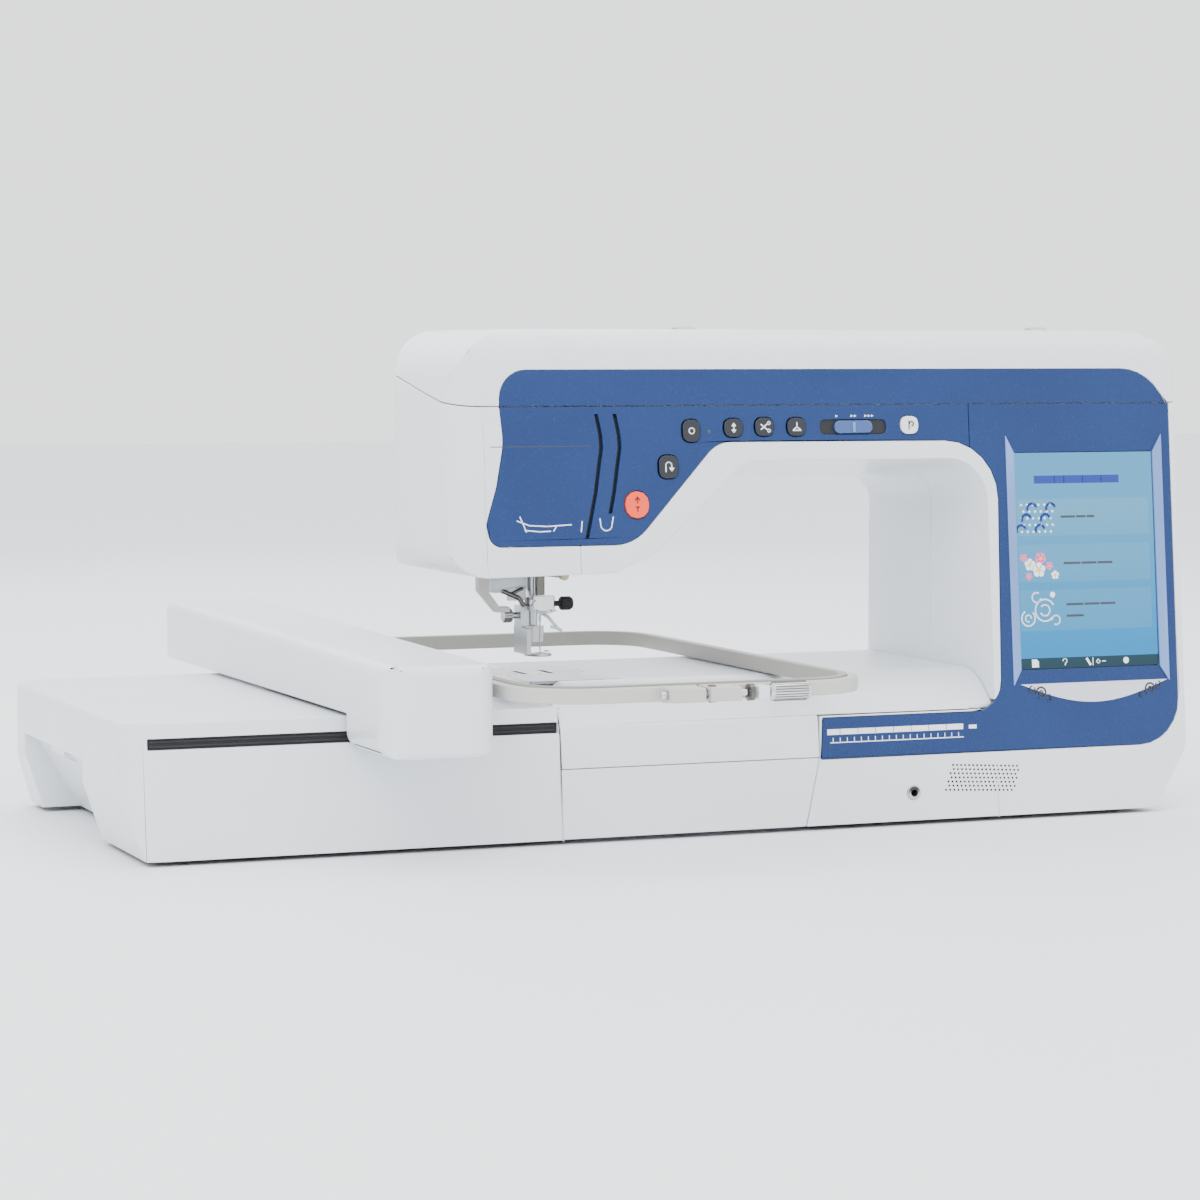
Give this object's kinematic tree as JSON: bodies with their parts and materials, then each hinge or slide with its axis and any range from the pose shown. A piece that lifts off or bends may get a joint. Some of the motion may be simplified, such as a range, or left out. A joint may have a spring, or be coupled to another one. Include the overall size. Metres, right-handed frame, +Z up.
{
  "type": "embroidery machine",
  "caption": "Sewing and embroidery machine with a wide throat, touch screen, button row, folding carry handle and a clip-on embroidery unit that moves a round-cornered hoop.",
  "frame": {"origin": "centre of the whole machine's footprint on the table, level with the undersides of its feet", "axes": "+X to the operator's right along the machine's length, +Y away from the operator, +Z up"},
  "size_m": [0.743, 0.553, 0.322],
  "materials": {
    "white_shell": "moulded ABS, fine satin gloss",
    "blue_fascia": "metallic-fleck lacquer under clear coat",
    "grey_plastic": "moulded, satin",
    "hoop_plastic": "moulded, fine grain",
    "dark_plastic": "moulded, matt",
    "button_keys": "moulded, satin gloss",
    "start_key": "moulded, lit from behind",
    "slider_knob": "clear tinted moulding",
    "screen_glass": "lit display under glass",
    "circuit_board": "lacquered board",
    "castings": "as cast",
    "steel": "ground and polished",
    "belt_rubber": "moulded, matt",
    "clear_plastic": "clear moulding"
  },
  "bodies": {
    "machine": {"face_cover": "white_shell", "front_cover": "white_shell", "rear_cover": "white_shell", "bed_cover": "white_shell", "spool_tray": "white_shell", "base_pan": "dark_plastic", "arm_fascia": "blue_fascia", "column_fascia": "blue_fascia", "touch_display": "screen_glass", "control_board": "circuit_board", "chassis": "castings", "main_motor": "castings", "timing_belt": "belt_rubber", "needle_plate": "steel", "bobbin_case": "dark_plastic", "speaker": "dark_plastic", "headphone_jack": "dark_plastic", "power_inlet": "dark_plastic", "spool_pin": "grey_plastic"},
    "lid": {"lid": "white_shell", "lid_fascia": "blue_fascia"},
    "carry_handle": {"carry_handle": "grey_plastic"},
    "upper_shaft": {"upper_shaft": "steel", "handwheel": "white_shell"},
    "lower_shaft": {"lower_shaft": "steel"},
    "motor_pulley": {"motor_pulley": "steel"},
    "hook": {"hook": "steel"},
    "bobbin": {"bobbin": "clear_plastic"},
    "needle_bar": {"needle_bar": "steel", "needle_clamp": "steel", "needle": "steel"},
    "clamp_screw": {"clamp_screw": "dark_plastic"},
    "presser_bar": {"presser_bar": "steel", "embroidery_foot": "steel"},
    "needle_threader": {"needle_threader": "grey_plastic"},
    "presser_lifter": {"presser_lifter": "dark_plastic"},
    "take_up_lever": {"take_up_lever": "steel"},
    "feed_dog": {"feed_dog": "steel"},
    "bobbin_cover": {"bobbin_cover": "clear_plastic"},
    "speed_slider": {"speed_slider": "slider_knob"},
    "power_switch": {"power_switch": "dark_plastic"},
    "bobbin_winder": {"bobbin_winder": "dark_plastic"},
    "embroidery_unit": {"unit_cover": "white_shell", "unit_base": "dark_plastic", "x_rail": "steel"},
    "unit_release": {"unit_release": "grey_plastic"},
    "carriage": {"carriage_cover": "white_shell", "carriage_base": "castings", "y_rail": "steel"},
    "hoop": {"hoop_holder": "grey_plastic", "hoop_outer": "hoop_plastic"},
    "hoop_inner": {"hoop_inner": "hoop_plastic"},
    "hoop_screw": {"hoop_screw": "steel"},
    "start_stop_button": {"start_stop_button": "start_key"},
    "reverse_button": {"reverse_button": "button_keys"},
    "reinforcement_button": {"reinforcement_button": "button_keys"},
    "needle_position_button": {"needle_position_button": "button_keys"},
    "thread_cutter_button": {"thread_cutter_button": "button_keys"},
    "presser_foot_button": {"presser_foot_button": "button_keys"},
    "threading_button": {"threading_button": "grey_plastic"}
  },
  "joints": [
    {"name": "lid_hinge", "type": "hinge", "parent": "machine", "child": "lid", "pos_m": [0.0975, -0.0084, 0.319], "axis": [-1, 0, 0], "range_deg": [0, 70]},
    {"name": "carry_handle_hinge", "type": "hinge", "parent": "machine", "child": "carry_handle", "pos_m": [0.2, 0.0275, 0.308], "axis": [1, 0, 0], "range_deg": [0, 175]},
    {"name": "upper_shaft_turn", "type": "hinge", "parent": "machine", "child": "upper_shaft", "pos_m": [-0.0725, -0.0245, 0.246], "axis": [1, 0, 0], "continuous": true},
    {"name": "lower_shaft_turn", "type": "hinge", "parent": "machine", "child": "lower_shaft", "pos_m": [-0.0725, -0.0805, 0.042], "axis": [1, 0, 0], "continuous": true},
    {"name": "motor_pulley_turn", "type": "hinge", "parent": "machine", "child": "motor_pulley", "pos_m": [-0.0725, -0.0965, 0.15], "axis": [1, 0, 0], "continuous": true},
    {"name": "hook_turn", "type": "hinge", "parent": "machine", "child": "hook", "pos_m": [-0.0725, -0.0805, 0.08], "axis": [0, 0, 1], "continuous": true},
    {"name": "bobbin_turn", "type": "hinge", "parent": "machine", "child": "bobbin", "pos_m": [-0.0725, -0.0805, 0.088], "axis": [0, 0, 1], "continuous": true},
    {"name": "needle_bar_slide", "type": "slide", "parent": "machine", "child": "needle_bar", "axis": [0, 0, 1], "range_m": [-0.0265, 0]},
    {"name": "clamp_screw_turn", "type": "hinge", "parent": "needle_bar", "child": "clamp_screw", "pos_m": [-0.0685, -0.0585, 0.1425], "axis": [1, 0, 0], "continuous": true},
    {"name": "presser_bar_slide", "type": "slide", "parent": "machine", "child": "presser_bar", "axis": [0, 0, 1], "range_m": [-0.009, 0]},
    {"name": "needle_threader_slide", "type": "slide", "parent": "machine", "child": "needle_threader", "axis": [0, 0, 1], "range_m": [-0.02, 0], "stiffness_N_per_m": 40, "springref_m": 0.004},
    {"name": "presser_lifter_hinge", "type": "hinge", "parent": "machine", "child": "presser_lifter", "pos_m": [-0.0625, -0.0055, 0.186], "axis": [1, 0, 0], "range_deg": [0, 18]},
    {"name": "take_up_lever_hinge", "type": "hinge", "parent": "machine", "child": "take_up_lever", "pos_m": [-0.0675, -0.0885, 0.226], "axis": [1, 0, 0], "range_deg": [0, 60]},
    {"name": "feed_dog_slide", "type": "slide", "parent": "machine", "child": "feed_dog", "axis": [0, 0, 1], "range_m": [0, 0.003]},
    {"name": "bobbin_cover_lift", "type": "slide", "parent": "machine", "child": "bobbin_cover", "axis": [0, 0, -1], "range_m": [-0.002, 0]},
    {"name": "start_stop_button_press", "type": "slide", "parent": "machine", "child": "start_stop_button", "axis": [0, 1, 0], "range_m": [0, 0.0015], "stiffness_N_per_m": 500},
    {"name": "reverse_button_press", "type": "slide", "parent": "machine", "child": "reverse_button", "axis": [0, 1, 0], "range_m": [0, 0.0015], "stiffness_N_per_m": 500},
    {"name": "reinforcement_button_press", "type": "slide", "parent": "machine", "child": "reinforcement_button", "axis": [0, 1, 0], "range_m": [0, 0.0015], "stiffness_N_per_m": 500},
    {"name": "needle_position_button_press", "type": "slide", "parent": "machine", "child": "needle_position_button", "axis": [0, 1, 0], "range_m": [0, 0.0015], "stiffness_N_per_m": 500},
    {"name": "thread_cutter_button_press", "type": "slide", "parent": "machine", "child": "thread_cutter_button", "axis": [0, 1, 0], "range_m": [0, 0.0015], "stiffness_N_per_m": 500},
    {"name": "presser_foot_button_press", "type": "slide", "parent": "machine", "child": "presser_foot_button", "axis": [0, 1, 0], "range_m": [0, 0.0015], "stiffness_N_per_m": 500},
    {"name": "threading_button_press", "type": "slide", "parent": "machine", "child": "threading_button", "axis": [0, 1, 0], "range_m": [0, 0.0015], "stiffness_N_per_m": 500},
    {"name": "speed_slider_slide", "type": "slide", "parent": "machine", "child": "speed_slider", "axis": [1, 0, 0], "range_m": [-0.009, 0.009]},
    {"name": "power_switch_rock", "type": "hinge", "parent": "machine", "child": "power_switch", "pos_m": [0.3515, -0.0245, 0.11], "axis": [0, 1, 0], "range_deg": [0, 12]},
    {"name": "bobbin_winder_turn", "type": "hinge", "parent": "machine", "child": "bobbin_winder", "pos_m": [0.3125, -0.0885, 0.268], "axis": [0, 0, 1], "continuous": true},
    {"name": "embroidery_unit_slide", "type": "slide", "parent": "machine", "child": "embroidery_unit", "axis": [-1, 0, 0], "range_m": [0, 0.2]},
    {"name": "unit_release_press", "type": "slide", "parent": "embroidery_unit", "child": "unit_release", "axis": [0, 0, 1], "range_m": [0, 0.003]},
    {"name": "carriage_slide", "type": "slide", "parent": "embroidery_unit", "child": "carriage", "axis": [1, 0, 0], "range_m": [-0.1, 0.05]},
    {"name": "hoop_slide", "type": "slide", "parent": "carriage", "child": "hoop", "axis": [0, 1, 0], "range_m": [-0.15, 0.15]},
    {"name": "hoop_inner_lift", "type": "slide", "parent": "hoop", "child": "hoop_inner", "axis": [0, 0, -1], "range_m": [-0.02, 0]},
    {"name": "hoop_screw_turn", "type": "hinge", "parent": "hoop", "child": "hoop_screw", "pos_m": [-0.0125, -0.2695, 0.1025], "axis": [1, 0, 0], "continuous": true}
  ],
  "couplings": [
    {"joint": "lower_shaft_turn", "follows": "upper_shaft_turn", "ratio": 1},
    {"joint": "motor_pulley_turn", "follows": "upper_shaft_turn", "ratio": 2},
    {"joint": "hook_turn", "follows": "upper_shaft_turn", "ratio": -2}
  ]
}
